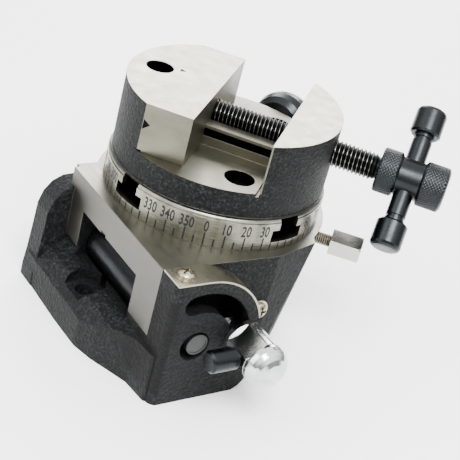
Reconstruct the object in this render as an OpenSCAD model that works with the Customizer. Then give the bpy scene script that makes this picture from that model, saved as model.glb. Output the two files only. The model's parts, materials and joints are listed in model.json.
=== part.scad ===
// Small horizontal rotary table with a round two-jaw vise bolted on top.
// Units mm, +Z up. The origin is the table axis on the underside of the base.
// The worm housing faces -Y; the machined window face is the -X side.

/* [Table] */
// radius of the graduated table
table_r = 41.1; // [40.6:0.1:42]
// height of the machined top of the base
base_h = 50; // [50:0.5:52]
// thickness of the graduated table
table_t = 12.3; // [12:0.1:14]
// radius of the centre bore
bore_r = 8; // [6:0.1:9]
// width of the T-slot neck
slot_neck = 8.3; // [7:0.1:9]
// width of the T-slot foot
slot_foot = 14; // [12:0.1:15]
// world angle of the first T-slot
slot_a0 = 8.5; // [5:0.1:12]

/* [Vise] */
// radius of the round vise
vise_r = 40; // [39:0.1:40.5]
// height of the vise above the table
vise_h = 28.7; // [27:0.1:30]
// thickness of the vise floor
floor_t = 10.3; // [9.5:0.1:11]
// direction of the vise screw
vise_a = -48.5; // [-52:0.1:-44]
// position of the fixed jaw face along the screw
fixed_s = 22.6; // [22:0.1:24]
// position of the moving jaw face along the screw
moving_s = -5.8; // [-8:0.1:-4]
// half width of the jaws
jaw_half = 32.8; // [31:0.1:33]
// half width of the guide rail
rail_half = 11; // [10:0.1:12]
// height of the screw axis above the vise floor
screw_up = 8.6; // [8.2:0.1:9]
// radius of the counterbores for the mounting screws
cbore_r = 5.5; // [5.2:0.1:6]
// bolt circle radius of the vise
bolt_r = 29.6; // [29:0.1:30]

/* [Handle] */
// radius of the vise screw over the thread
screw_r = 5; // [4.6:0.05:5]
// pitch of the vise screw
screw_p = 1.5; // [1.25:0.25:1.75]
// radius of the knurled hub
hub_r = 8.2; // [7.8:0.1:8.6]
// start of the hub along the screw
hub_s0 = 56.8; // [55:0.1:60]
// length of the hub
hub_l = 25; // [24:0.1:26]
// radius of the cross bar
bar_r = 3.6; // [3.2:0.1:3.8]
// inner end of each bar cap from the screw axis
cap_in = 17.4; // [17:0.1:20]
// length of a bar cap
cap_l = 10.3; // [10:0.1:12]
// radius of a bar cap
cap_r = 5.6; // [5:0.1:6]

/* [Worm drive] */
// position of the worm sleeve axis along X
worm_x = -33; // [-33.2:0.1:-32.9]
// height of the worm sleeve axis
worm_z = 24; // [23.5:0.1:24.5]
// throw of the eccentric sleeve
ecc = 1.35; // [1.3:0.05:1.4]
// teeth on the worm wheel
teeth = 72; // [72:1:72]
// radius of the lever slot
lever_r = 17.9; // [17.6:0.1:18.2]
// lever angle at rest, from +X towards +Z
lever_a = 4.5; // [3:0.5:6]

/* [Hidden] */
$fn = 96;
eps = 0.01;
top_z = base_h + table_t;
tbl_z0 = base_h + 0.05;
floor_z = top_z + floor_t;
vtop_z = top_z + vise_h;
axis_z = floor_z + screw_up;
rail_z = floor_z + 7.8;
slot_z = base_h + 3.3;
neck_z = base_h + 8;
wc_x = worm_x + ecc;
pitch_r = -wc_x - 4.55;
lead = 2 * PI * pitch_r / teeth;
lead_angle = atan(lead / (2 * PI * 4.55));
housing_r = base_h - worm_z - 0.04;

black = [0.14, 0.14, 0.15];
bright = [0.78, 0.77, 0.72];
steel = [0.55, 0.55, 0.56];
blued = [0.22, 0.24, 0.26];
brass = [0.75, 0.6, 0.3];
chrome = [0.85, 0.86, 0.88];

// local frame of the vise: +X runs along the screw towards the handle
module vise() {
  rotate([0, 0, vise_a]) children();
}

// a rod along the local +X of the vise at the screw height
module rod_x(s0, s1, r) {
  translate([s0, 0, axis_z]) rotate([0, 90, 0]) cylinder(h = s1 - s0, r = r);
}

// cylinder along +Y about the point (x, z)
module rod_y(x, z, y0, y1, r) {
  translate([x, y0, z]) rotate([-90, 0, 0]) cylinder(h = y1 - y0, r = r);
}

// ------------------------------------------------------------ base
module housing_outline() {
  polygon([[-45.5, 0], [-45.5, base_h], [worm_x, base_h], [worm_x, worm_z], [worm_x + housing_r, worm_z],
    [-6.2, 10], [-6.4, 6], [-7.2, 3.6], [-8.8, 1.6], [-11.5, 0]]);
  translate([worm_x, worm_z]) circle(r = housing_r);
}

module kidney() {
  difference() {
    circle(r = lever_r + 3.9);
    circle(r = lever_r - 3.9);
    rotate(1.5) translate([-60, -60]) square([120, 60]);
    rotate(103) translate([-60, 0]) square([120, 60]);
  }
  rotate(1.5) translate([lever_r, 0]) circle(r = 3.86);
  rotate(103) translate([lever_r, 0]) circle(r = 3.86);
}

module arm_room() {
  circle(r = 9.6);
  intersection() {
    circle(r = housing_r - 2.6);
    sector(60, -27, 128);
    translate([-10, -20]) square([60, 60]);
  }
}

module xz(y0, y1) {
  translate([0, y1, 0]) rotate([90, 0, 0]) linear_extrude(height = y1 - y0) children();
}

// corners of the leaning wall: five at the top, then five at the foot
module leaning_wall() {
  polyhedron(
    points = [[-29, -44.6, base_h], [1.6, -45.5, base_h], [20.9, -40.6, base_h], [30, -25, base_h], [-29, -20, base_h],
      [-29, -50.5, 0], [-2.2, -50.7, 0], [25.8, -27.6, 0], [30, -20, 0], [-29, -20, 0]],
    faces = [[4, 3, 2, 1, 0], [5, 6, 7, 8, 9], [0, 1, 5], [1, 6, 5], [1, 2, 6], [2, 7, 6], [2, 3, 7], [3, 8, 7],
      [3, 4, 8], [4, 9, 8], [4, 0, 9], [0, 5, 9]]);
}

module base_solid() {
  // drum under the table
  cylinder(h = base_h, r1 = 37.2, r2 = 43.6, $fn = 128);
  // machined deck on the worm side
  translate([-43.5, -44.4, 0]) cube([44, 70.4, base_h]);
  // worm housing
  xz(-55, -27) intersection() {
    housing_outline();
    translate([-45.5, 0]) square([60, base_h]);
  }
  // leaning wall between the housing and the drum
  leaning_wall();
  // proud machined pad on the window side
  translate([-45.5, -43.8, 22.8]) cube([6, 67.9, base_h - 22.8]);
  // skirt and foot
  intersection() {
    xz(-54.5, 31) polygon([[-40, 0], [-56.8, 0], [-56.3, 11.5], [-51.5, 17.5], [-45.4, 19.8], [-43, 24],
      [-40, 24]]);
    linear_extrude(height = 60) polygon([[-30, 30.5], [-54.6, 30.5], [-56.2, 28], [-56.8, 0], [-56.4, -16.7],
      [-53.9, -25.7], [-50.7, -32.9], [-47.4, -40.7], [-46.4, -50.9], [-44.6, -54.4], [-30, -54.4]]);
  }
  // rear ear
  xz(21.5, 30.5) polygon([[-40, 0], [-40, 43.5], [-46, 43], [-50, 40.8], [-53, 37], [-54.6, 32], [-55, 24],
    [-55.8, 12], [-56.6, 5], [-56.6, 0]]);
  // rear foot of the deck
  translate([-44, 20, 0]) cube([40, 10.5, 20]);
}

module base_casting() {
  color(black) difference() {
    base_solid();
    // wheel cavity and spindle bore
    translate([0, 0, -1]) cylinder(h = 35, r = 29.6);
    cylinder(h = 80, r = 17.02);
    // window for the worm
    translate([-50, -29.5, 19]) cube([26, 41.5, 19]);
    translate([-41, -29.5, 13]) cube([17, 41.5, 10]);
    // bores for the eccentric sleeve
    rod_y(worm_x, worm_z, -50, 23.8, 8.55);
    // chamber of the lever arm
    translate([worm_x, -44, worm_z]) rotate([90, 0, 0]) linear_extrude(height = 6) arm_room();
    translate([worm_x, -49, worm_z]) rotate([90, 0, 0]) cylinder(h = 8, r = 5.8);
    // arched slot of the lever
    translate([worm_x, -49, worm_z]) rotate([90, 0, 0]) linear_extrude(height = 8) kidney();
    // front vertical edge
    translate([-45.5, -55, -1]) difference() {
      translate([-1, -1, 0]) cube([4.2, 4.2, 60]);
      translate([3.5, 3.5, -1]) cylinder(h = 62, r = 3.6);
    }
    // foot bolt hole
    translate([-48.5, -4, -1]) cylinder(h = 40, r = 3.5);
    translate([-48.5, -4, 14.5]) cylinder(h = 8, r = 7.7);
    // lock screw bore
    rotate([0, 0, -45]) translate([10, 0, 45]) rotate([0, 90, 0]) cylinder(h = 50, r = 2.6);
    // tapped holes under the index plate screws
    translate([-40.3, -50, 42]) cylinder(h = 20, r = 1.55);
    wall_screw() translate([0, 0, -8]) cylinder(h = 12, r = 1.55);
  }
}

module spindle_bush() {
  color(brass) difference() {
    translate([0, 0, 34.5]) cylinder(h = 7, r = 17);
    cylinder(h = 80, r = 14.03);
  }
}

// index plate bent over the worm housing
module index_plate() {
  color(chrome) difference() {
    xz(-54.9, -44.6) difference() {
      union() {
        translate([-45.5, base_h + 0.02]) square([45.5 + worm_x, 0.7]);
        intersection() {
          translate([worm_x, worm_z]) circle(r = housing_r + 0.72);
          translate([worm_x, worm_z + 9]) square([60, 60]);
        }
      }
      translate([worm_x, worm_z]) circle(r = housing_r + 0.02);
    }
    translate([-45.5, -54.9, base_h - 3]) rotate([0, 0, -40]) translate([-6, -8, 0]) cube([12, 8, 8]);
    translate([-40.3, -50, 42]) cylinder(h = 20, r = 1.6);
    // clearance to the leaning wall
    translate([0, -0.15, 0]) leaning_wall();
  }
}

// seat of the second pan head on the leaning wall
module wall_screw() {
  translate([-3.1, -47.62, 29.4]) rotate([84.03, 0, -0.43]) children();
}

module pan_head() {
  difference() {
    union() {
      translate([0, 0, -5]) cylinder(h = 5.1, r = 1.5, $fn = 32);
      cylinder(h = 0.5, r = 3.7, $fn = 48);
      intersection() {
        translate([0, 0, 0.5]) cylinder(h = 2, r = 2.9, $fn = 48);
        translate([0, 0, -1.6]) sphere(r = 4.2, $fn = 48);
      }
    }
    translate([-0.45, -2.1, 1.1]) cube([0.9, 4.2, 3]);
    translate([-2.1, -0.45, 1.1]) cube([4.2, 0.9, 3]);
  }
}

module plate_screws() {
  color(steel) {
    translate([-40.3, -50, base_h + 0.74]) rotate([0, 0, 30]) pan_head();
    wall_screw() translate([0, 0, 0.06]) pan_head();
  }
}

// ------------------------------------------------------------ rotary table
module tslots() {
  for (k = [0:3]) rotate([0, 0, slot_a0 + 90 * k]) {
    translate([15, -slot_neck / 2, neck_z - eps]) cube([40, slot_neck, 20]);
    translate([15, -slot_foot / 2, slot_z]) cube([40, slot_foot, neck_z - slot_z]);
  }
}

module rotary_table() {
  color(bright) difference() {
    union() {
      translate([0, 0, tbl_z0]) cylinder(h = table_t - 1.3 - 0.05, r = table_r, $fn = 128);
      translate([0, 0, top_z - 1.31]) cylinder(h = 1.31, r = table_r - 0.35, $fn = 128);
    }
    translate([0, 0, 40]) cylinder(h = 40, r = bore_r);
    translate([0, 0, 40]) cylinder(h = 13.05, r = 14.03);
    tslots();
    // chamfer at the top edge
    translate([0, 0, top_z - 0.5]) difference() {
      cylinder(h = 1, r = table_r + 2);
      translate([0, 0, -0.5]) cylinder(h = 1.01, r1 = table_r - 0.35 + 0.5, r2 = table_r - 0.86);
    }
    // tapped holes for the vise
    vise() for (q = [[-bolt_r, 0], [0.4544 * bolt_r, -0.8908 * bolt_r]])
      translate([q[0], q[1], top_z - 9]) cylinder(h = 20, r = 3.04);
  }
}

module table_spindle() {
  color(steel) difference() {
    union() {
      translate([0, 0, 8]) cylinder(h = 45, r = 14);
      translate([0, 0, 8]) cylinder(h = 2, r = 13);
    }
    translate([0, 0, 0]) cylinder(h = 80, r = bore_r);
    translate([0, 0, 7]) cylinder(h = 2, r1 = bore_r + 2, r2 = bore_r);
  }
}

module thrust_washer() {
  color(brass) translate([0, 0, 31]) difference() {
    cylinder(h = 2.96, r = 22);
    translate([0, 0, -1]) cylinder(h = 5, r = 14.03);
  }
}

module bearing_nut() {
  color(blued) translate([0, 0, 28.55]) difference() {
    cylinder(h = 2.4, r = 20);
    translate([0, 0, -1]) cylinder(h = 5, r = 14.03);
    for (k = [0:3]) rotate([0, 0, 90 * k + 20]) translate([18, -2, -1]) cube([6, 4, 5]);
  }
}

// one gear tooth, base on the root circle
module wheel_outline() {
  circle(r = pitch_r - 0.82, $fn = 144);
  for (k = [0:teeth - 1]) rotate((k + 0.5) * 360 / teeth)
    polygon([[pitch_r - 1.4, -0.72], [pitch_r - 0.8, -0.68], [pitch_r + 0.1, -0.36], [pitch_r + 0.48, -0.16],
      [pitch_r + 0.48, 0.16], [pitch_r + 0.1, 0.36], [pitch_r - 0.8, 0.68], [pitch_r - 1.4, 0.72]]);
}

module worm_wheel() {
  tw = 9 * tan(lead_angle) / pitch_r * 180 / PI;
  color(brass) difference() {
    translate([0, 0, worm_z - 4.5]) rotate([0, 0, -tw / 2])
      linear_extrude(height = 9, twist = -tw, slices = 2) wheel_outline();
    translate([0, 0, 10]) cylinder(h = 40, r = 14.03);
  }
}

module wheel_nut() {
  color(blued) translate([0, 0, 13.9]) difference() {
    cylinder(h = 5.55, r = 18.5);
    translate([0, 0, -1]) cylinder(h = 8, r = 14.03);
    for (k = [0:3]) rotate([0, 0, 90 * k]) translate([16.6, -2.2, -1]) cube([6, 4.4, 8]);
  }
}

// ------------------------------------------------------------ vise
module vise_base() {
  color(black) vise() difference() {
    union() {
      translate([0, 0, top_z]) cylinder(h = 0.8, r = vise_r + 0.4, $fn = 128);
      translate([0, 0, top_z]) cylinder(h = floor_t, r = vise_r, $fn = 128);
      // fixed jaw
      intersection() {
        translate([0, 0, top_z]) cylinder(h = vise_h, r = vise_r, $fn = 128);
        translate([fixed_s, -60, top_z]) cube([60, 120, 60]);
      }
      // guide rail
      translate([-22, -rail_half, floor_z - 1]) cube([22 + fixed_s + 1, 2 * rail_half, rail_z - floor_z + 1]);
    }
    // ground flats beside the fixed jaw face
    for (m = [-1, 1]) scale([1, m, 1]) translate([fixed_s - 8, jaw_half - 0.2, floor_z]) cube([9.2, 20, 60]);
    // relief at the foot of the fixed jaw face
    translate([fixed_s - 1.2, -60, floor_z - 1.2]) cube([1.2, 60 - rail_half - 0.6, 1.21]);
    translate([fixed_s - 1.2, rail_half + 0.6, floor_z - 1.2]) cube([1.2, 60, 1.21]);
    // side grooves of the rail
    for (m = [-1, 1]) scale([1, m, 1])
      translate([-23, rail_half - 2.6, floor_z + 3.6]) cube([23 + fixed_s, 8, 3]);
    // screw trough
    translate([-23, -5.6, floor_z + 2.6]) cube([23 + fixed_s, 11.2, 20]);
    // thread bore of the fixed jaw
    rod_x(fixed_s - 2, 60, screw_r + 0.06);
    // counterbored mounting holes
    for (q = [[-bolt_r, 0], [0.4544 * bolt_r, -0.8908 * bolt_r], [0.4544 * bolt_r, 0.8908 * bolt_r]])
      translate([q[0], q[1], 0]) {
        translate([0, 0, top_z - 1]) cylinder(h = 30, r = 3.3);
        translate([0, 0, top_z + 2.7]) cylinder(h = 30, r = cbore_r);
      }
    // bore of the side knob
    rotate([0, 0, 75]) translate([35, 0, top_z + 2.8]) rotate([0, 90, 0]) cylinder(h = 20, r = 2.06);
  }
}

module vise_mount_screws() {
  color(blued) vise() for (q = [[-bolt_r, 0], [0.4544 * bolt_r, -0.8908 * bolt_r]])
    translate([q[0], q[1], 0]) difference() {
      union() {
        translate([0, 0, top_z + 2.71]) cylinder(h = 3.6, r = 5, $fn = 64);
        translate([0, 0, top_z - 7.5]) cylinder(h = 10.5, r = 3, $fn = 48);
      }
      translate([0, 0, top_z + 4.1]) cylinder(h = 6, r = 2.9, $fn = 6);
    }
}

module moving_jaw() {
  color(bright) vise() difference() {
    intersection() {
      translate([0, 0, floor_z + 0.06]) cylinder(h = vtop_z - floor_z - 0.06, r = vise_r, $fn = 128);
      translate([-60, -jaw_half, 0]) cube([60 + moving_s, 2 * jaw_half, 120]);
    }
    // channel over the guide rail
    translate([-60, -rail_half - 0.06, floor_z - 5]) cube([70, 2 * rail_half + 0.12, rail_z + 0.06 - floor_z + 5]);
    // pockets of the keepers
    for (m = [-1, 1]) scale([1, m, 1])
      translate([-21.02, rail_half - 1, floor_z + 3.76]) cube([13.04, 6.02, 2.68]);
    // seat of the screw end
    rod_x(-19, 10, screw_r + 0.06);
    for (t = [-4.05, 4.05]) translate([-12, t, rail_z - 3]) cylinder(h = 10.5, r = 1.02, $fn = 32);
    // clearance hole over the mounting screw
    translate([-bolt_r, 0, floor_z - 5]) cylinder(h = 60, r = cbore_r - 0.35);
    // small setting marks
    translate([-22, 3.4, vtop_z - 0.3]) linear_extrude(height = 1) rotate(35) polygon([[-1.3, -1.1], [1.3, -1.1], [0, 1.3]]);
    translate([-21.7, -jaw_half + 0.3, floor_z + 10.6]) rotate([90, 0, 0]) linear_extrude(height = 1)
      polygon([[-1, -1.9], [1.6, 0.2], [-0.9, 1.9]]);
    // nick at the rear lower corner of the near flat
    translate([-25, -60, floor_z - 1]) cube([3.4, 60 - jaw_half + 0.9, 1.6]);
  }
}

module jaw_keepers() {
  color(steel) vise() for (m = [-1, 1]) scale([1, m, 1])
    translate([-21, rail_half - 2.45, floor_z + 3.78]) cube([13, 7.45, 2.64]);
}

module retainer_pins() {
  color(steel) vise() for (t = [-4.05, 4.05])
    translate([-12, t, rail_z + 0.1]) cylinder(h = 7.2, r = 1, $fn = 32);
}

function zig(s0, s1, p, r, d) = [for (i = [0:floor((s1 - s0) / p) - 1], j = [0, 1])
  [j == 0 ? r - d : r, s0 + (i + (j == 0 ? 0.5 : 1)) * p]];

module vise_screw() {
  color(blued) vise() translate([0, 0, axis_z]) rotate([0, 90, 0]) rotate_extrude()
    polygon(concat([[0, -17.5], [3.6, -17.5], [4.4, -16.7], [4.4, -13.35], [2.95, -13.35], [2.95, -10.65],
      [4.1, -10.65], [4.1, -8]], zig(-8, hub_s0 - 0.8, screw_p, screw_r, 0.8), [[3.9, hub_s0 - 0.6],
      [3.9, hub_s0 + 6], [0, hub_s0 + 6]]));
}

module bar_frame() {
  vise() translate([hub_s0 + 11.4, 0, axis_z]) rotate([-45, 0, 0]) children();
}

module handle_hub() {
  color(blued) difference() {
    vise() translate([0, 0, axis_z]) rotate([0, 90, 0]) rotate_extrude()
      polygon([[0, hub_s0], [hub_r - 0.7, hub_s0], [hub_r, hub_s0 + 0.7], [hub_r, hub_s0 + 6.6],
        [hub_r - 0.5, hub_s0 + 7.1], [hub_r - 1.2, hub_s0 + 7.5], [hub_r - 1.2, hub_s0 + 15.6],
        [hub_r - 0.5, hub_s0 + 16], [hub_r, hub_s0 + 16.5], [hub_r, hub_s0 + hub_l - 1.2],
        [hub_r - 1.4, hub_s0 + hub_l], [0, hub_s0 + hub_l]]);
    vise() rod_x(hub_s0 - 1, hub_s0 + 6.3, 3.94);
    bar_frame() translate([0, 0, -20]) cylinder(h = 40, r = bar_r + 0.05);
    vise() translate([hub_s0 + 3.6, 0, axis_z]) rotate([90, 0, 0]) translate([0, 0, -12])
      cylinder(h = 24, r = 1.02, $fn = 32);
  }
}

module hub_pin() {
  color(steel) difference() {
    vise() translate([hub_s0 + 3.6, 0, axis_z]) rotate([90, 0, 0]) translate([0, 0, -hub_r + 0.3])
      cylinder(h = 2 * hub_r - 0.6, r = 1, $fn = 32);
    vise() rod_x(hub_s0 - 1, hub_s0 + 6.2, 3.92);
  }
}

module cross_bar() {
  color(blued) bar_frame() difference() {
    translate([0, 0, -cap_in - 8]) cylinder(h = 2 * cap_in + 16, r = bar_r, $fn = 64);
    for (z = [-cap_in + 1.9, cap_in - 1.9]) translate([0, 0, z - 0.6]) difference() {
      cylinder(h = 1.2, r = bar_r + 1);
      translate([0, 0, -1]) cylinder(h = 4, r = bar_r - 0.5);
    }
  }
}

module bar_caps() {
  color(blued) bar_frame() for (m = [0, 180]) rotate([m, 0, 0]) translate([0, 0, cap_in]) difference() {
    rotate_extrude() polygon([[0, 0], [cap_r - 0.7, 0], [cap_r, 0.7], [cap_r, cap_l - 1.6],
      [cap_r - 0.4, cap_l - 0.7], [cap_r - 1.3, cap_l - 0.15], [cap_r - 2.6, cap_l], [0, cap_l]]);
    translate([0, 0, -1]) cylinder(h = 9.05, r = bar_r + 0.02, $fn = 64);
  }
}

// ------------------------------------------------------------ worm drive
// sector of a ring about the sleeve axis, angles from +X towards +Z
module sector(r, a0, a1) {
  polygon(concat([[0, 0]], [for (i = [0:8]) r * [cos(a0 + (a1 - a0) * i / 8), sin(a0 + (a1 - a0) * i / 8)]]));
}

module eccentric_sleeve() {
  color(blued) difference() {
    union() {
      rod_y(worm_x, worm_z, -49.6, -14.5, 8.5);
      rod_y(worm_x, worm_z, 14.5, 23.4, 8.5);
      // bridge seen through the window
      intersection() {
        rod_y(worm_x, worm_z, -16, 16, 8.5);
        translate([worm_x, 16, worm_z]) rotate([90, 0, 0]) linear_extrude(height = 32) sector(14, 105, 215);
      }
      // arm that carries the lever stud
      translate([worm_x, -45, worm_z]) rotate([90, 0, 0]) linear_extrude(height = 4.6) rotate(lever_a) {
        translate([0, -4.4]) square([lever_r, 8.8]);
        translate([lever_r, 0]) circle(r = 4.4);
      }
    }
    rod_y(wc_x, worm_z, -60, -13, 5.62);
    rod_y(wc_x, worm_z, -14, 22.2, 5.62);
    translate([worm_x, -40, worm_z]) rotate([90, 0, 0]) rotate([0, 0, lever_a]) translate([lever_r, 0, 0])
      cylinder(h = 12, r = 2.52, $fn = 48);
  }
}

module worm_bushes() {
  color(brass) difference() {
    union() {
      rod_y(wc_x, worm_z, -44, -34, 5.6);
      rod_y(wc_x, worm_z, 15, 22, 5.6);
    }
    rod_y(wc_x, worm_z, -60, 40, 3.55);
  }
}

module worm_shaft() {
  turns = 10;
  color(steel) {
    translate([wc_x, -turns * lead / 2, worm_z]) rotate([-90, 0, 0])
      linear_extrude(height = turns * lead, twist = -360 * turns, slices = 16 * turns, $fn = 24)
        translate([0.6, 0]) circle(r = 4.5, $fn = 24);
    rod_y(wc_x, worm_z, -54.3, 21.8, 3.5);
  }
}

module worm_collar() {
  color(steel) difference() {
    rod_y(wc_x, worm_z, -54.5, -49.7, 4.2);
    rod_y(wc_x, worm_z, -60, -40, 3.52);
    translate([wc_x, -50, worm_z]) cylinder(h = 10, r = 0.9, $fn = 24);
  }
}

module at_lever() {
  translate([worm_x, 0, worm_z]) rotate([90, 0, 0]) rotate([0, 0, lever_a]) translate([lever_r, 0, 0])
    rotate([0, 0, -lever_a]) children();
}

module lever_stud() {
  color(chrome) difference() {
    at_lever() {
      translate([0, 0, 45]) cylinder(h = 12, r = 2.5, $fn = 48);
      translate([0, 0, 49.7]) cylinder(h = 7, r = 3.3, $fn = 48);
      translate([0, 0, 56.4]) cylinder(h = 0.5, r1 = 7.3, r2 = 7.8, $fn = 96);
      translate([0, 0, 56.9]) cylinder(h = 13.6, r = 7.8, $fn = 96);
      translate([0, 0, 70.5]) cylinder(h = 3, r = 2.5, $fn = 48);
    }
    // ground flat of the grip
    at_lever() rotate([0, 0, 37]) translate([-10, 6.5, 58.9]) cube([20, 6, 20]);
    at_lever() translate([-9, 0, 65.6]) rotate([0, 90, 0]) cylinder(h = 10, r = 2.52, $fn = 48);
  }
}

module lever_knob() {
  color(chrome) difference() {
    at_lever() translate([0, 0, 70.6]) rotate_extrude()
      polygon([[0, 0], [7.4, 0], [8.2, 0.8], [8.2, 1.8], [7.9, 3.4], [7.1, 5], [5.8, 6.3], [4, 7.2], [2, 7.7], [0, 7.8]]);
    at_lever() translate([0, 0, 68]) cylinder(h = 5.6, r = 2.52, $fn = 48);
  }
}

module lever_rod() {
  color(blued) at_lever() translate([-19, 0, 65.6]) rotate([0, 90, 0]) {
    translate([0, 0, 0.8]) cylinder(h = 9.4, r = 4, $fn = 64);
    cylinder(h = 0.8, r1 = 3.2, r2 = 4, $fn = 64);
    cylinder(h = 19.6, r = 2.5, $fn = 48);
  }
}

// ------------------------------------------------------------ table lock
module lock_axis() {
  rotate([0, 0, -45]) translate([0, 0, 45]) rotate([0, 90, 0]) children();
}

module lock_pad() {
  color(brass) lock_axis() translate([0, 0, 14.35]) cylinder(h = 5.5, r = 2.53, $fn = 48);
}

module lock_screw() {
  color(brass) lock_axis() rotate_extrude()
    polygon(concat([[0, 19.9], [1.9, 19.9]], zig(20.1, 50.5, 0.8, 2.45, 0.4), [[2, 51], [0, 51]]));
}

module lock_head() {
  color(chrome) lock_axis() difference() {
    intersection() {
      translate([0, 0, 48.5]) cylinder(h = 11.8, r = 5.45, $fn = 6);
      translate([0, 0, 48.5]) cylinder(h = 11.8, r1 = 10, r2 = 5, $fn = 64);
    }
    translate([0, 0, 40]) cylinder(h = 12, r = 2.48, $fn = 48);
  }
}

// ------------------------------------------------------------ side knob of the vise
module knob_axis() {
  vise() rotate([0, 0, 75]) translate([0, 0, top_z + 2.8]) rotate([0, 90, 0]) children();
}

module side_knob_stem() {
  color(steel) knob_axis() translate([0, 0, 35.5]) cylinder(h = 12, r = 2, $fn = 48);
}

module side_knob() {
  color(blued) knob_axis() difference() {
    translate([0, 0, 41.7]) rotate_extrude() polygon([[0, 0], [7, 0], [9.4, 1], [11.4, 3], [12.3, 6], [12, 9],
      [10.8, 12], [8.4, 14.4], [4.4, 16], [0, 16.5]]);
    translate([0, 0, 40]) cylinder(h = 7.6, r = 2.02, $fn = 48);
  }
}

base_casting();
spindle_bush();
index_plate();
plate_screws();
rotary_table();
table_spindle();
thrust_washer();
bearing_nut();
worm_wheel();
wheel_nut();
vise_base();
vise_mount_screws();
moving_jaw();
jaw_keepers();
retainer_pins();
vise_screw();
handle_hub();
hub_pin();
cross_bar();
bar_caps();
eccentric_sleeve();
worm_bushes();
lever_stud();
lever_knob();
lever_rod();
worm_shaft();
worm_collar();
lock_pad();
lock_screw();
lock_head();
side_knob();
side_knob_stem();
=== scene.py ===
import json
import math

import bpy
import numpy as np
from mathutils import Matrix, Vector


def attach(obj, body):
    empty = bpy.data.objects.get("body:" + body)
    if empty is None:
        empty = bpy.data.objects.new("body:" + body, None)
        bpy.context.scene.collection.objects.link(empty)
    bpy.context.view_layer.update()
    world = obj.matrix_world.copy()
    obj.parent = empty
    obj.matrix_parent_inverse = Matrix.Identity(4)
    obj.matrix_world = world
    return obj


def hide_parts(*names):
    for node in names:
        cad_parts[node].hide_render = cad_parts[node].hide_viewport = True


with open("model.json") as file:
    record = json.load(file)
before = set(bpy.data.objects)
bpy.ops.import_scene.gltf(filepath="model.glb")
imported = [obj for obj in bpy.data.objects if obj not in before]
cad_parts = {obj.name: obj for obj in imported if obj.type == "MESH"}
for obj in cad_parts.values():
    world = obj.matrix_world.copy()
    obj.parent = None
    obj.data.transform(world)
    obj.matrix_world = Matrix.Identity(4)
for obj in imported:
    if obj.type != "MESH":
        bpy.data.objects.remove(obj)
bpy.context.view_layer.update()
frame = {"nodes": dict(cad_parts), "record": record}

# ---------------------------------------------------------------- sizes
# Lengths are in mm in the CAD's frame: Z is the axis of the table and the base stands on z = 0.
MM = 0.001  # one millimetre in metres
TAU = 2 * math.pi
Z_DIR = np.array([0.0, 0.0, 1.0])

# base: machined deck, front of the housing, pad round the window, then the hollows
DECK_Z = 50.0
FRONT_Y = -55.0
PAD_X, PAD_Y, PAD_Z = -45.5, -43.8, 22.8
SPINDLE_BORE_R = 17.0
WHEEL_ROOM_R = 29.6
WHEEL_ROOM_TOP = 34.0
WORM_AXIS = (-33.0, 0.0, 24.0)
LEVER_SLOT_R = 21.8
FOOT_HOLE = (-48.5, -4.0, 0.0)
FOOT_HOLE_R = 7.7

# table: its rim, half the width of a T-slot's foot, and the directions of the four T-slots
TABLE_R = 41.1
SLOT_HALF = 7.0
SLOT_ANGLES = [math.radians(8.5 + 90 * k) for k in range(4)]

# vise: S runs along the screw towards the handle, T runs across it
VISE_A = math.radians(-48.5)
S_DIR = np.array([math.cos(VISE_A), math.sin(VISE_A), 0.0])
T_DIR = np.array([-S_DIR[1], S_DIR[0], 0.0])
VISE_R = 40.0
VISE_FLOOR = 72.6
VISE_TOP = 91.0
SCREW_Z = 81.2
MOUNT_HOLES = ((-29.6, 0.0), (13.45, -26.37), (13.45, 26.37))
SCREW_AXIS = (Z_DIR * SCREW_Z, T_DIR, Z_DIR, S_DIR)

# handle hub
HUB_R = 8.2
HUB_GROOVE_R = 7.0
HUB_START = 56.8
HUB_LENGTH = 25.0

# table lock
LOCK_A = math.radians(-45)
LOCK_DIR = np.array([math.cos(LOCK_A), math.sin(LOCK_A), 0.0])
LOCK_POINT = np.array([0.0, 0.0, 45.0])
LOCK_AXIS = (LOCK_POINT, np.cross(Z_DIR, LOCK_DIR), Z_DIR, LOCK_DIR)

# shared by the materials
FACING = 0.9  # cosine from which a face counts as facing a direction
ROUND_Y = (1, 0, 1)  # what is left of a vector when its part along Y is dropped
ROUND_Z = (1, 1, 0)
BLACK = (0.004, 0.004, 0.004)


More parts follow.
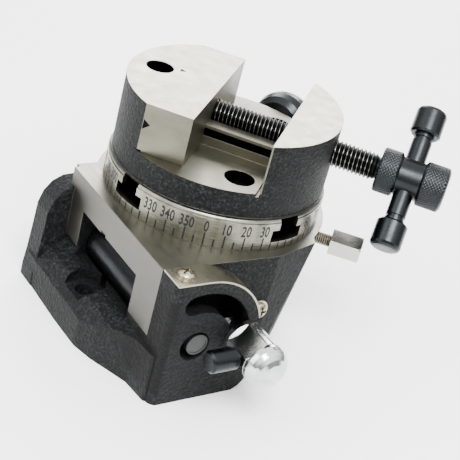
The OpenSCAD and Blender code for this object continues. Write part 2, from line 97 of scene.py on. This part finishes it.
# ---------------------------------------------------------------- materials
class Shade:
    """A principled material with helpers to wire procedural nodes; lengths are in mm."""

    def __init__(self, name):
        self.mat = bpy.data.materials.new(name)
        self.mat.use_nodes = True
        self.tree = self.mat.node_tree
        self.tree.nodes.clear()
        self.out = self.tree.nodes.new("ShaderNodeOutputMaterial")
        self.bsdf = self.tree.nodes.new("ShaderNodeBsdfPrincipled")
        self.link(self.bsdf.outputs[0], self.out.inputs[0])
        coord = self.tree.nodes.new("ShaderNodeTexCoord")
        self.pos = self.vec("SCALE", coord.outputs["Object"], scale=1.0 / MM)
        self.nrm = coord.outputs["Normal"]

    def link(self, a, b):
        self.tree.links.new(a, b)

    def put(self, socket, value):
        if isinstance(value, bpy.types.NodeSocket):
            self.link(value, socket)
        else:
            socket.default_value = value

    def vec(self, op, a, b=None, scale=None):
        n = self.tree.nodes.new("ShaderNodeVectorMath")
        n.operation = op
        self.put(n.inputs[0], a)
        if b is not None:
            self.put(n.inputs[1], b)
        if scale is not None:
            self.put(n.inputs["Scale"], scale)
        return n.outputs["Value"] if op in ("LENGTH", "DOT_PRODUCT") else n.outputs[0]

    def math(self, op, a, b=0.0):
        n = self.tree.nodes.new("ShaderNodeMath")
        n.operation = op
        self.put(n.inputs[0], a)
        self.put(n.inputs[1], b)
        return n.outputs[0]

    def above(self, v, limit):
        return self.math("GREATER_THAN", v, limit)

    def below(self, v, limit):
        return self.math("LESS_THAN", v, limit)

    def inside(self, v, lo, hi):
        """1 where lo < v < hi."""
        return self.math("MULTIPLY", self.above(v, lo), self.below(v, hi))

    def in_box(self, coords, limits):
        """1 where each coordinate is between its two limits."""
        return self.both(*(self.inside(v, lo, hi) for v, (lo, hi) in zip(coords, limits)))

    def both(self, *masks):
        m = masks[0]
        for n in masks[1:]:
            m = self.math("MULTIPLY", m, n)
        return m

    def either(self, *masks):
        m = masks[0]
        for n in masks[1:]:
            m = self.math("MAXIMUM", m, n)
        return m

    def from_axis(self, point, across):
        """Distance from the line through point that runs along Y, for ROUND_Y, or along Z, for ROUND_Z."""
        return self.vec("LENGTH", self.vec("MULTIPLY", self.vec("SUBTRACT", self.pos, point), across))

    def split(self, v):
        n = self.tree.nodes.new("ShaderNodeSeparateXYZ")
        self.link(v, n.inputs[0])
        return n.outputs[0], n.outputs[1], n.outputs[2]

    def noise(self, size, detail=3.0, rough=0.55, vec=None, warp=0.0):
        n = self.tree.nodes.new("ShaderNodeTexNoise")
        self.link(self.pos if vec is None else vec, n.inputs["Vector"])
        n.inputs["Scale"].default_value = 1.0 / size
        n.inputs["Detail"].default_value = detail
        n.inputs["Roughness"].default_value = rough
        n.inputs["Distortion"].default_value = warp
        return n.outputs["Fac"]

    def cells(self, size, smooth):
        n = self.tree.nodes.new("ShaderNodeTexVoronoi")
        n.feature = "SMOOTH_F1"
        self.link(self.pos, n.inputs["Vector"])
        n.inputs["Scale"].default_value = 1.0 / size
        n.inputs["Smoothness"].default_value = smooth
        return n.outputs["Distance"]

    def stretch(self, x, y, z):
        return self.vec("MULTIPLY", self.pos, (x, y, z))

    def span(self, v, a, b, lo=0.0, hi=1.0, smooth=False):
        """v from a to b becomes lo to hi, and stays there outside."""
        n = self.tree.nodes.new("ShaderNodeMapRange")
        n.interpolation_type = "SMOOTHSTEP" if smooth else "LINEAR"
        self.put(n.inputs[0], v)
        for i, x in enumerate((a, b, lo, hi)):
            self.put(n.inputs[i + 1], x)
        return n.outputs[0]

    def mix(self, f, a, b):
        """Colour a where f is 0, colour b where it is 1."""
        n = self.tree.nodes.new("ShaderNodeMix")
        n.data_type = "RGBA"
        self.put(n.inputs[0], f)
        for s, v in ((n.inputs[6], a), (n.inputs[7], b)):
            self.put(s, v if isinstance(v, bpy.types.NodeSocket) else (*v, 1.0))
        return n.outputs[2]

    def mix_vectors(self, f, a, b):
        n = self.tree.nodes.new("ShaderNodeMix")
        n.data_type = "VECTOR"
        self.put(n.inputs[0], f)
        self.link(a, n.inputs[4])
        self.link(b, n.inputs[5])
        return n.outputs[1]

    def blend(self, f, a, b):
        """Number a where f is 0, number b where it is 1."""
        rest = self.math("SUBTRACT", 1.0, f)
        return self.math("ADD", self.math("MULTIPLY", a, rest), self.math("MULTIPLY", b, f))

    def bump(self, height, depth_mm, normal=None):
        n = self.tree.nodes.new("ShaderNodeBump")
        n.inputs["Strength"].default_value = 1.0
        n.inputs["Distance"].default_value = depth_mm * MM
        self.link(height, n.inputs["Height"])
        if normal is not None:
            self.link(normal, n.inputs["Normal"])
        return n.outputs[0]

    def soft_edges(self, radius_mm):
        n = self.tree.nodes.new("ShaderNodeBevel")
        n.samples = 4
        n.inputs["Radius"].default_value = radius_mm * MM
        return n.outputs[0]

    def set(self, **values):
        names = {"color": "Base Color", "rough": "Roughness", "metal": "Metallic", "normal": "Normal",
                 "spec": "Specular IOR Level"}
        for k, v in values.items():
            self.put(self.bsdf.inputs[names[k]], v)
        return self.mat


def paint_parts(g, dark=None):
    """Charcoal wrinkle enamel: colour, roughness and height sockets. dark is a mask of the hollows, where
    painted shade darkens the enamel.
    """
    grain = g.noise(1.0, 6.0, 0.72, warp=0.4)
    pits = g.cells(1.5, smooth=0.5)
    broad = g.noise(3.4, 3.0, 0.55, warp=0.5)
    tone = g.noise(17.0, 3.0, 0.5)
    hue = g.noise(1.6, 2.0, 0.5)
    waves = g.math("ADD", g.math("MULTIPLY", broad, 0.45), g.math("MULTIPLY", grain, 0.9))
    height = g.math("ADD", g.math("MULTIPLY", pits, 0.55), waves)
    spark = g.span(grain, 0.48, 0.66, smooth=True)
    base = g.mix(g.span(tone, 0.35, 0.7), (0.0003, 0.0003, 0.0004), (0.0010, 0.0011, 0.0014))
    fleck = g.mix(g.span(hue, 0.4, 0.65), (0.024, 0.025, 0.024), (0.013, 0.023, 0.026))
    color = g.mix(spark, base, fleck)
    # painted shade: the hollows in the mask dark are painted nearly black
    if dark is not None:
        color = g.mix(g.math("MULTIPLY", dark, 0.85), color, (0.0012, 0.0012, 0.0014))
    rough = g.span(grain, 0.3, 0.75, 0.50, 0.72)
    return color, rough, height


def ground_parts(g, lines, tint, dark=None):
    """Ground or milled bright steel, as paint_parts: lines is a stretched coordinate that gives the lay. dark
    is a mask painted black: painted shade in hollows, and marks.
    """
    lay = g.noise(1.0, 3.0, 0.6, vec=lines)
    stain = g.noise(13.0, 4.0, 0.6, warp=0.8)
    spots = g.noise(0.9, 2.0, 0.5)
    color = g.mix(g.span(stain, 0.3, 0.75, 0.0, 0.22), tint, (0.20, 0.19, 0.15))
    color = g.mix(g.span(lay, 0.3, 0.7, 0.0, 0.18), color, (0.16, 0.15, 0.12))
    color = g.mix(g.span(spots, 0.64, 0.8, 0.0, 0.35), color, (0.20, 0.18, 0.14))
    # the mask dark is painted black: painted shade in hollows, and marks
    if dark is not None:
        color = g.mix(dark, color, BLACK)
    rough = g.math("ADD", g.span(lay, 0.25, 0.75, 0.27, 0.40), g.span(stain, 0.3, 0.8, 0.0, 0.1))
    return color, rough, lay


def paint_and_steel(g, steel, paint_look, steel_look, edge_mm):
    """Enamel where the mask steel is 0 and bare metal where it is 1."""
    paint_depth, steel_depth = 0.85, 0.012
    soft = g.soft_edges(edge_mm)
    paint_color, paint_rough, paint_height = paint_look
    steel_color, steel_rough, steel_height = steel_look
    paint_normal = g.bump(paint_height, paint_depth, soft)
    steel_normal = g.bump(steel_height, steel_depth, soft)
    return g.set(color=g.mix(steel, paint_color, steel_color), rough=g.blend(steel, paint_rough, steel_rough),
                 metal=steel, normal=g.mix_vectors(steel, paint_normal, steel_normal), spec=0.13)


def casting_material():
    """Enamel with ground faces; painted shade darkens the lever slot, the window, the foot hole and the wheel
    room. The masks of the hollows reach a little past their walls.
    """
    g = Shade("cast_enamel")
    x, y, z = g.split(g.pos)
    nx, _, nz = g.split(g.nrm)
    from_table_axis = g.from_axis((0.0, 0.0, 0.0), ROUND_Z)
    on_pad = g.inside(x, PAD_X - 0.12, PAD_X + 0.12)
    pad = g.both(g.below(nx, -FACING), on_pad, g.above(z, PAD_Z - 0.1), g.above(y, PAD_Y - 0.1))
    deck = g.both(g.above(nz, FACING), g.above(z, DECK_Z - 0.2))
    spindle_bore = g.below(from_table_axis, SPINDLE_BORE_R + 0.3)
    bare = g.either(pad, deck, spindle_bore)

    # painted shade in the hollows: the lever slot and the window fully, the foot hole and the wheel room in
    # part
    near_worm = g.below(g.from_axis(WORM_AXIS, ROUND_Y), LEVER_SLOT_R + 0.8)
    lever_slot_shade = g.both(near_worm, g.inside(y, FRONT_Y + 0.1, -37.0))
    window_shade = g.in_box((x, y, z), ((-45.2, -18.0), (-29.7, 12.2), (12.9, 38.2)))
    foot_hole_shade = g.both(g.below(g.from_axis(FOOT_HOLE, ROUND_Z), FOOT_HOLE_R + 0.2), g.inside(z, 0.0, 17.0))
    wheel_room_shade = g.both(g.below(from_table_axis, WHEEL_ROOM_R + 0.4), g.below(z, WHEEL_ROOM_TOP + 0.5))
    dim = g.either(g.math("MULTIPLY", foot_hole_shade, 0.6), g.math("MULTIPLY", wheel_room_shade, 0.7))
    dark = g.either(lever_slot_shade, window_shade, dim)

    # painted light and shade: the deck, facing up, is painted lighter than the pad and the spindle bore
    tint = g.mix(deck, (0.07, 0.07, 0.065), (0.17, 0.165, 0.14))
    milled = ground_parts(g, g.stretch(0.5, 0.08, 3.0), tint)
    return paint_and_steel(g, bare, paint_parts(g, dark), milled, 0.5)


# Places painted black, as limits along the screw, across it and in height: two triangular marks on the moving
# jaw; painted shade in the jaw's nick and in the rail's grooves and channel. For the rail, across counts both
# ways.
JAW_MARK_ON_TOP = ((-24.4, -19.6), (1.0, 5.8), (90.5, 90.96))
JAW_MARK_ON_FLAT = ((-23.4, -19.4), (-32.76, -32.2), (80.0, 86.0))
JAW_NICK = ((-25.2, -21.4), (-60.0, -31.7), (71.0, 73.4))
RAIL_GROOVE = ((-23.0, 23.0), (8.0, 10.96), (76.1, 79.3))
RAIL_CHANNEL = ((-23.0, 23.0), (-1.0, 5.7), (75.0, 80.2))


def vise_material(name, jaw=False):
    """Enamel on the round wall and ground steel elsewhere, for the moving jaw or for the vise body."""
    g = Shade(name)
    _, _, z = g.split(g.pos)
    _, _, nz = g.split(g.nrm)
    along = g.vec("DOT_PRODUCT", g.pos, tuple(S_DIR))
    across = g.vec("DOT_PRODUCT", g.pos, tuple(T_DIR))
    flat = g.vec("MULTIPLY", g.pos, ROUND_Z)
    outward = g.vec("DOT_PRODUCT", g.vec("NORMALIZE", flat), g.nrm)
    wall = g.both(g.above(outward, FACING), g.above(g.vec("LENGTH", flat), VISE_R - 0.2))
    top = g.both(g.above(nz, FACING), g.above(z, VISE_TOP - 0.1))

    if jaw:
        hole_r, hole_top = 5.3, VISE_TOP - 0.3
        painted_black_hollows = (JAW_MARK_ON_TOP, JAW_MARK_ON_FLAT, JAW_NICK)
    else:
        hole_r, hole_top = 5.62, VISE_FLOOR - 0.3
        painted_black_hollows = (RAIL_GROOVE, RAIL_CHANNEL)
        across = g.math("ABSOLUTE", across)
    masks = [g.in_box((along, across, z), limits) for limits in painted_black_hollows]
    # painted shade: the walls of the screw holes are painted black
    for s, t in MOUNT_HOLES:
        from_hole = g.from_axis(tuple(S_DIR * s + T_DIR * t), ROUND_Z)
        masks.append(g.both(g.below(from_hole, hole_r), g.below(z, hole_top)))

    # painted light and shade: the ground top faces are painted much lighter than the floor, the rail and the
    # other ground faces
    tint = g.mix(top, (0.075, 0.072, 0.056), (0.30, 0.285, 0.215))
    brushed = g.noise(1.0, 2.0, 0.5, vec=g.stretch(0.05, 0.05, 0.09))
    tint = g.mix(g.span(brushed, 0.35, 0.65, 0.0, 0.34), tint, (0.27, 0.26, 0.20))
    ground = ground_parts(g, g.stretch(0.2, 0.2, 2.0), tint, g.either(*masks))
    return paint_and_steel(g, g.math("SUBTRACT", 1.0, wall), paint_parts(g), ground, 0.25)


def table_material():
    """Turned steel with fine rings; painted shade darkens the foot of the rim and paints the T-slots black
    further in.
    """
    g = Shade("turned_table_steel")
    _, _, z = g.split(g.pos)
    # painted shade: black inside the rim, seen in the T-slots, and darker at the rim's foot
    painted_slot_shade = g.span(g.from_axis((0.0, 0.0, 0.0), ROUND_Z), TABLE_R - 0.2, TABLE_R - 2.7)
    painted_rim_foot_shade = g.span(z, 54.0, 50.2, 0.0, 0.45)
    rings = g.noise(1.0, 3.0, 0.6, vec=g.stretch(0.25, 0.25, 3.2))
    streaks = g.noise(1.0, 3.0, 0.6, vec=g.stretch(0.16, 0.16, 0.02))
    fine = g.noise(0.5, 3.0, 0.6)
    color = g.mix(g.span(streaks, 0.3, 0.68), (0.07, 0.07, 0.056), (0.21, 0.205, 0.168))
    color = g.mix(g.span(rings, 0.4, 0.75, 0.0, 0.25), color, (0.50, 0.49, 0.42))
    color = g.mix(g.span(fine, 0.6, 0.8, 0.0, 0.5), color, (0.14, 0.13, 0.105))
    color = g.mix(painted_rim_foot_shade, color, (0.12, 0.115, 0.095))
    color = g.mix(g.math("MULTIPLY", painted_slot_shade, 0.96), color, BLACK)
    rough = g.span(rings, 0.3, 0.7, 0.26, 0.38)
    return g.set(color=color, rough=rough, metal=1.0, normal=g.bump(rings, 0.008, g.soft_edges(0.2)))


def metal(name, color, dirt, rough, stain, edge, depth=0.01, lay=(1, 1, 1), crest=None):
    """Bare metal with stains of the colour dirt.

    rough: lowest and highest roughness. stain: the most dirt, from 0 to 1. edge: softened edges in mm.
    depth: of the grain in mm. lay: how the grain is stretched. crest: (point, direction, r0, r1, colour)
    brightens what lies further than r0 from an axis, fully from r1.
    """
    g = Shade(name)
    fine = g.noise(0.35, 3.0, 0.6, vec=g.stretch(*lay))
    cloud = g.noise(6.0, 4.0, 0.6, warp=0.5)
    brighter = tuple(min(1.0, c * 1.35) for c in color)
    shown = g.mix(g.span(cloud, 0.35, 0.75, 0.0, stain), color, dirt)
    shown = g.mix(g.span(fine, 0.55, 0.8, 0.0, 0.25), shown, brighter)
    if crest:
        point, way, r0, r1, crest_color = crest
        from_point = g.vec("SUBTRACT", g.pos, point)
        along = g.vec("SCALE", way, scale=g.vec("DOT_PRODUCT", from_point, way))
        radius = g.vec("LENGTH", g.vec("SUBTRACT", from_point, along))
        shown = g.mix(g.span(radius, r0, r1), shown, crest_color)
    roughness = g.math("ADD", g.span(fine, 0.3, 0.7, *rough), g.span(cloud, 0.4, 0.8, 0.0, 0.08))
    return g.set(color=shown, rough=roughness, metal=1.0, normal=g.bump(fine, depth, g.soft_edges(edge)))


def ink():
    g = Shade("engraved_fill")
    dark = (0.006, 0.006, 0.007)
    worn = tuple(c * 2.4 for c in dark)
    n = g.noise(0.3, 2.0, 0.6)
    return g.set(color=g.mix(g.span(n, 0.35, 0.7), dark, worn), rough=g.span(n, 0.3, 0.7, 0.5, 0.75),
                 metal=0.0, normal=g.bump(n, 0.01), spec=0.2)


SCREW_CREST = (tuple(Z_DIR * SCREW_Z), tuple(S_DIR), 4.86, 5.0, (0.30, 0.30, 0.27))
LOCK_CREST = (tuple(LOCK_POINT), tuple(LOCK_DIR), 2.2, 2.44, (0.46, 0.43, 0.36))
MAT = {
    "cast": casting_material(),
    "vise": vise_material("vise_enamel_and_steel"),
    "jaw": vise_material("jaw_enamel_and_steel", jaw=True),
    "table": table_material(),
    "plate": metal("bright_sheet", (0.30, 0.285, 0.22), (0.20, 0.185, 0.14), rough=(0.24, 0.36), stain=0.45,
                   edge=0.2, depth=0.006, lay=(0.4, 2.0, 0.4)),
    "zinc": metal("plated_screw", (0.34, 0.315, 0.235), (0.30, 0.26, 0.18), rough=(0.20, 0.32), stain=0.5,
                  edge=0.12),
    "black_oxide": metal("blued_steel", (0.021, 0.0235, 0.025), (0.012, 0.013, 0.014), rough=(0.22, 0.36),
                         stain=0.5, edge=0.2),
    "socket": metal("blackened_screw", (0.010, 0.010, 0.011), BLACK, rough=(0.35, 0.5), stain=0.5, edge=0.1),
    "thread": metal("blued_thread", (0.011, 0.0115, 0.012), (0.008, 0.008, 0.008), rough=(0.28, 0.42),
                    stain=0.5, edge=0.05, crest=SCREW_CREST),
    "steel": metal("turned_steel", (0.34, 0.34, 0.33), (0.15, 0.145, 0.13), rough=(0.3, 0.42), stain=0.3,
                   edge=0.15),
    "dull": metal("dull_collar", (0.055, 0.058, 0.057), (0.035, 0.035, 0.035), rough=(0.4, 0.55), stain=0.5,
                  edge=0.2, depth=0.02, lay=(0.4, 1, 0.4)),
    "bronze": metal("bearing_bronze", (0.50, 0.35, 0.16), (0.25, 0.16, 0.08), rough=(0.32, 0.46), stain=0.3,
                    edge=0.15),
    "brass": metal("dull_brass", (0.13, 0.118, 0.085), (0.05, 0.045, 0.03), rough=(0.3, 0.45), stain=0.4,
                   edge=0.1, crest=LOCK_CREST),
    "chrome": metal("polished_chrome", (0.62, 0.63, 0.635), (0.22, 0.23, 0.23), rough=(0.07, 0.18), stain=0.6,
                    edge=0.3, depth=0.02, lay=(0.3, 1.5, 0.3)),
    "hex": metal("nickelled_hex", (0.38, 0.375, 0.35), (0.45, 0.43, 0.38), rough=(0.12, 0.24), stain=0.35,
                 edge=0.2, depth=0.006),
    "ink": ink(),
}
LOOKS = {
    "base_casting": "cast", "spindle_bush": "bronze", "index_plate": "plate", "plate_screws": "zinc",
    "rotary_table": "table", "table_spindle": "steel", "thrust_washer": "bronze",
    "bearing_nut": "black_oxide", "worm_wheel": "bronze", "wheel_nut": "black_oxide",
    "vise_base": "vise", "vise_mount_screws": "socket", "moving_jaw": "jaw",
    "jaw_keepers": "steel", "retainer_pins": "steel", "vise_screw": "thread",
    "handle_hub": "black_oxide", "hub_pin": "steel", "cross_bar": "black_oxide", "bar_caps": "black_oxide",
    "eccentric_sleeve": "black_oxide", "worm_bushes": "bronze", "lever_stud": "chrome",
    "lever_knob": "chrome", "lever_rod": "black_oxide", "worm_shaft": "dull", "worm_collar": "dull",
    "lock_pad": "brass", "lock_screw": "brass", "lock_head": "hex",
    "side_knob": "black_oxide", "side_knob_stem": "steel",
}
SLOTS = {m["node"]: m["material_slot"] for m in frame["record"]["subparts"]}
for name, obj in frame["nodes"].items():
    obj.data.materials.clear()
    obj.data.materials.append(MAT[LOOKS[name]])


# ---------------------------------------------------------------- meshes
def add_mesh(name, verts, faces, mat, smooth=None):
    """A mesh from points in mm. smooth: the angle in degrees from which an edge stays sharp."""
    me = bpy.data.meshes.new(name)
    me.from_pydata([tuple(float(c) * MM for c in v) for v in verts], [], faces)
    me.validate()
    me.update()
    ob = bpy.data.objects.new(name, me)
    bpy.context.scene.collection.objects.link(ob)
    me.materials.append(mat)
    if smooth is not None:
        me.shade_smooth()
        me.set_sharp_from_angle(angle=math.radians(smooth))
    return ob


def ring_faces(rows, cols):
    """Quads between rows of points, each row closed round the axis."""
    faces = []
    for i in range(rows - 1):
        for j in range(cols):
            k = (j + 1) % cols
            faces.append(((i + 1) * cols + j, (i + 1) * cols + k, i * cols + k, i * cols + j))
    return faces


def revolve(profile, seg, axis, wave):
    """profile: (radius, distance along the axis) pairs. wave(r, s, a) gives the radius at the angle a."""
    origin, u, v, w = axis
    verts = []
    for r, s in profile:
        for j in range(seg):
            a = TAU * j / seg
            verts.append(origin + w * s + (u * math.cos(a) + v * math.sin(a)) * wave(r, s, a))
    return verts, ring_faces(len(profile), seg)


def ride(obj, body, slot=None, instead=None):
    """Puts obj on a body. instead: the CAD node that it stands for, which is hidden."""
    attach(obj, body)
    if instead:
        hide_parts(instead)
        slot = slot or SLOTS[instead]
    return obj


# ---------------------------------------------------------------- threads
def thread_mesh(name, mat, axis, start, end, pitch, r_out, depth, seg, rings, ends, ramp):
    """A right-handed thread from start to end along the axis: the radius follows the helix.

    seg: points round the rod. rings: rows of points in one pitch. ends: the profile before and after the
    thread. ramp: the length over which the thread rises from its root at each end.
    """
    crest_share, flank_share = 0.08, 0.84
    count = int(round((end - start) / pitch * rings))
    threaded = [(r_out, start + (end - start) * i / count) for i in range(count + 1)]

    def helix(r, s, a):
        if not start <= s <= end:
            return r
        phase = (s / pitch - a / TAU) % 1.0
        cut = min(1.0, max(0.0, (abs(2 * phase - 1) - crest_share) / flank_share))
        risen = max(0.0, min(1.0, (s - start) / ramp, (end - s) / ramp))
        return r - depth * cut * risen - depth * (1.0 - risen)

    before = [(r, s) for r, s in ends if s < start]
    after = [(r, s) for r, s in ends if s > end]
    verts, faces = revolve(before + threaded + after, seg, axis, helix)
    return add_mesh(name, verts, faces, mat, 50)


# the chamfered nose with the groove of the retainer pins, then the shank inside the hub
screw_ends = [(0.0, -17.5), (3.6, -17.5), (4.4, -16.7), (4.4, -13.35), (2.95, -13.34), (2.95, -10.66),
              (4.1, -10.65), (3.9, 56.2), (3.9, 62.7), (0.0, 62.71)]
screw = thread_mesh("vise_screw_thread", MAT["thread"], SCREW_AXIS, start=-8.0, end=56.0, pitch=1.5,
                    r_out=5.0, depth=0.85, seg=64, rings=10, ends=screw_ends, ramp=1.2)
ride(screw, "screw", instead="vise_screw")

lock_ends = [(0.0, 19.9), (1.9, 19.9), (2.0, 50.9), (0.0, 51.0)]
lock = thread_mesh("lock_screw_thread", MAT["brass"], LOCK_AXIS, start=20.1, end=50.4, pitch=0.8,
                   r_out=2.45, depth=0.42, seg=32, rings=8, ends=lock_ends, ramp=0.6)
ride(lock, "lock", instead="lock_screw")


# ---------------------------------------------------------------- knurled hub
KNURLS_ROUND = 40
KNURL_PITCH = 1.25
KNURL_DEPTH = 0.28


def band(start, length, rows):
    """Rows of profile points along a knurled band, its start left out."""
    return [(HUB_R, HUB_START + start + length * i / rows) for i in range(1, rows + 1)]


def hub_profile():
    near = [(0.0, 0.0), (3.95, 0.0), (HUB_R - 0.7, 0.0), (HUB_R - 0.35, 0.2), (HUB_R, 0.7)]
    groove = [(HUB_R - 0.5, 7.1), (HUB_GROOVE_R, 7.5), (HUB_GROOVE_R, 9.5), (HUB_GROOVE_R, 13.5),
              (HUB_GROOVE_R, 15.6), (HUB_R - 0.5, 16.0), (HUB_R, 16.5)]
    far = [(HUB_R - 0.3, HUB_LENGTH - 0.7), (HUB_R - 1.4, HUB_LENGTH), (4.0, HUB_LENGTH), (0.0, HUB_LENGTH)]
    near, groove, far = ([(r, HUB_START + s) for r, s in part] for part in (near, groove, far))
    return near + band(0.7, 5.9, 26) + groove + band(16.5, 7.3, 32) + far


def knurl(r, s, a):
    """Two families of crossing grooves on the full radius, smooth elsewhere."""
    if r < HUB_R - 0.05:
        return r
    one = abs(((a / TAU * KNURLS_ROUND + s / KNURL_PITCH) % 1.0) * 2 - 1)
    two = abs(((a / TAU * KNURLS_ROUND - s / KNURL_PITCH) % 1.0) * 2 - 1)
    return r - KNURL_DEPTH + KNURL_DEPTH * min(1.0, 1.25 * min(one, two) + 0.1)


hub_verts, hub_faces = revolve(hub_profile(), 320, SCREW_AXIS, knurl)
hub = add_mesh("knurled_hub", hub_verts, hub_faces, MAT["black_oxide"], 40)
ride(hub, "screw", instead="handle_hub")

# ---------------------------------------------------------------- scale of the table
# A tick every 5 degrees, longer every 10, and a numeral every 10. By the T-slots the ticks are short and the
# numerals are left out.
SCALE_ZERO = math.radians(-125.8)
INK_LIFT = 0.012
TICK_HALF = 0.3
TICK_FOOT = 50.35
TICK_TOP = 53.4
LONG_TICK_TOP = 55.4
CUT_TICK_TOP = 53.2
NUMERAL_HALF = 1.4
NUMERAL_FOOT = 55.85
NUMERAL_SIZE = 6.0
NUMERAL_NARROWING = 0.6
NUMERAL_WEIGHT = 0.13


def wrap(points, middle):
    """Points (along, up) in mm, laid on the rim at the angle middle; along runs counter-clockwise."""
    r = TABLE_R + INK_LIFT
    return [(r * math.cos(middle + x / TABLE_R), r * math.sin(middle + x / TABLE_R), z) for x, z in points]


def near_slot(angle, half):
    """True where a mark of this half width would reach the foot of a T-slot."""
    gaps = [abs((angle - slot + math.pi) % TAU - math.pi) * TABLE_R for slot in SLOT_ANGLES]
    return min(gaps) < SLOT_HALF + half


def numeral(text):
    """Outline points and faces of a number, in mm, centred on x = 0."""
    curve = bpy.data.curves.new("digits", "FONT")
    curve.body = text
    curve.size = NUMERAL_SIZE
    curve.offset = NUMERAL_WEIGHT
    curve.align_x = "CENTER"
    curve.resolution_u = 3
    curve.space_character = 1.02
    ob = bpy.data.objects.new("digits", curve)
    bpy.context.scene.collection.objects.link(ob)
    bpy.context.view_layer.update()
    me = bpy.data.meshes.new_from_object(ob.evaluated_get(bpy.context.evaluated_depsgraph_get()))
    points = [(v.co.x, v.co.y) for v in me.vertices]
    faces = [tuple(p.vertices) for p in me.polygons]
    bpy.data.objects.remove(ob)
    bpy.data.curves.remove(curve)
    bpy.data.meshes.remove(me)
    return points, faces


tick_verts, tick_faces = [], []
for i in range(72):
    angle = SCALE_ZERO + math.radians(5 * i)
    top = LONG_TICK_TOP if i % 2 == 0 else TICK_TOP
    if near_slot(angle, TICK_HALF):
        top = CUT_TICK_TOP
    first = len(tick_verts)
    corners = [(-TICK_HALF, TICK_FOOT), (TICK_HALF, TICK_FOOT), (TICK_HALF, top), (-TICK_HALF, top)]
    tick_verts += wrap(corners, angle)
    tick_faces.append((first, first + 1, first + 2, first + 3))
ticks = add_mesh("scale_ticks", tick_verts, tick_faces, MAT["ink"])
ride(ticks, "table", slot=SLOTS["rotary_table"])

numeral_verts, numeral_faces = [], []
for i in range(36):
    angle = SCALE_ZERO + math.radians(10 * i)
    if near_slot(angle, NUMERAL_HALF):
        continue
    points, faces = numeral(str(10 * i))
    first = len(numeral_verts)
    numeral_verts += wrap([(x * NUMERAL_NARROWING, NUMERAL_FOOT + y) for x, y in points], angle)
    numeral_faces += [tuple(first + k for k in face) for face in faces]
numerals = add_mesh("scale_numerals", numeral_verts, numeral_faces, MAT["ink"])
ride(numerals, "table", slot=SLOTS["rotary_table"])

# ---------------------------------------------------------------- stage, in metres
bpy.ops.mesh.primitive_plane_add(size=6.0, location=(0, 0, 0))
floor = bpy.context.object
floor.name = "floor"
pale = Shade("pale_floor")
tone = pale.mix(pale.noise(120.0, 2.0, 0.5), (0.93, 0.93, 0.93), (0.95, 0.95, 0.95))
floor.data.materials.append(pale.set(color=tone, rough=0.6, spec=0.3))


def studio_world():
    """A white studio that is dim at the horizon and bright overhead."""
    rise_from, rise_to, dim, bright = 0.05, 0.75, 0.50, 3.0
    world = bpy.data.worlds.new("studio")
    world.use_nodes = True
    tree = world.node_tree
    glow = tree.nodes["Background"]
    glow.inputs[0].default_value = (1.0, 1.0, 1.0, 1.0)
    direction = tree.nodes.new("ShaderNodeTexCoord")
    height = tree.nodes.new("ShaderNodeSeparateXYZ")
    ramp = tree.nodes.new("ShaderNodeMapRange")
    ramp.interpolation_type = "SMOOTHSTEP"
    for i, value in enumerate((rise_from, rise_to, dim, bright)):
        ramp.inputs[i + 1].default_value = value
    tree.links.new(direction.outputs["Generated"], height.inputs[0])
    tree.links.new(height.outputs[2], ramp.inputs[0])
    tree.links.new(ramp.outputs[0], glow.inputs[1])
    return world


def area(name, place, size, power):
    """A rectangular lamp that points at the object."""
    target = Vector((0.0, 0.0, 0.05))
    lamp = bpy.data.lights.new(name, "AREA")
    lamp.shape = "RECTANGLE"
    lamp.size, lamp.size_y = size
    lamp.energy = power
    ob = bpy.data.objects.new(name, lamp)
    ob.location = place
    ob.rotation_euler = (target - Vector(place)).to_track_quat("-Z", "Y").to_euler()
    bpy.context.scene.collection.objects.link(ob)


bpy.context.scene.world = studio_world()
area("key", (-0.25, -0.55, 0.9), (0.5, 0.5), 26.0)
area("left", (-0.8, 0.1, 0.5), (0.5, 0.8), 6.0)
area("back", (0.55, 0.75, 0.55), (0.8, 0.5), 16.0)

# the camera stands at the front left, looks down at the object and leans to its own left
camera_data = bpy.data.cameras.new("camera")
camera_data.sensor_width = 36.0
camera_data.lens = 94.0
camera = bpy.data.objects.new("camera", camera_data)
bpy.context.scene.collection.objects.link(camera)
stand = Matrix.Translation((-0.2467, -0.3135, 0.2625))
turn = Matrix.Rotation(math.radians(-39.769), 4, "Z")
tilt = Matrix.Rotation(math.radians(60.364), 4, "X")
roll = Matrix.Rotation(math.radians(15.453), 4, "Z")
camera.matrix_world = stand @ turn @ tilt @ roll
bpy.context.scene.camera = camera
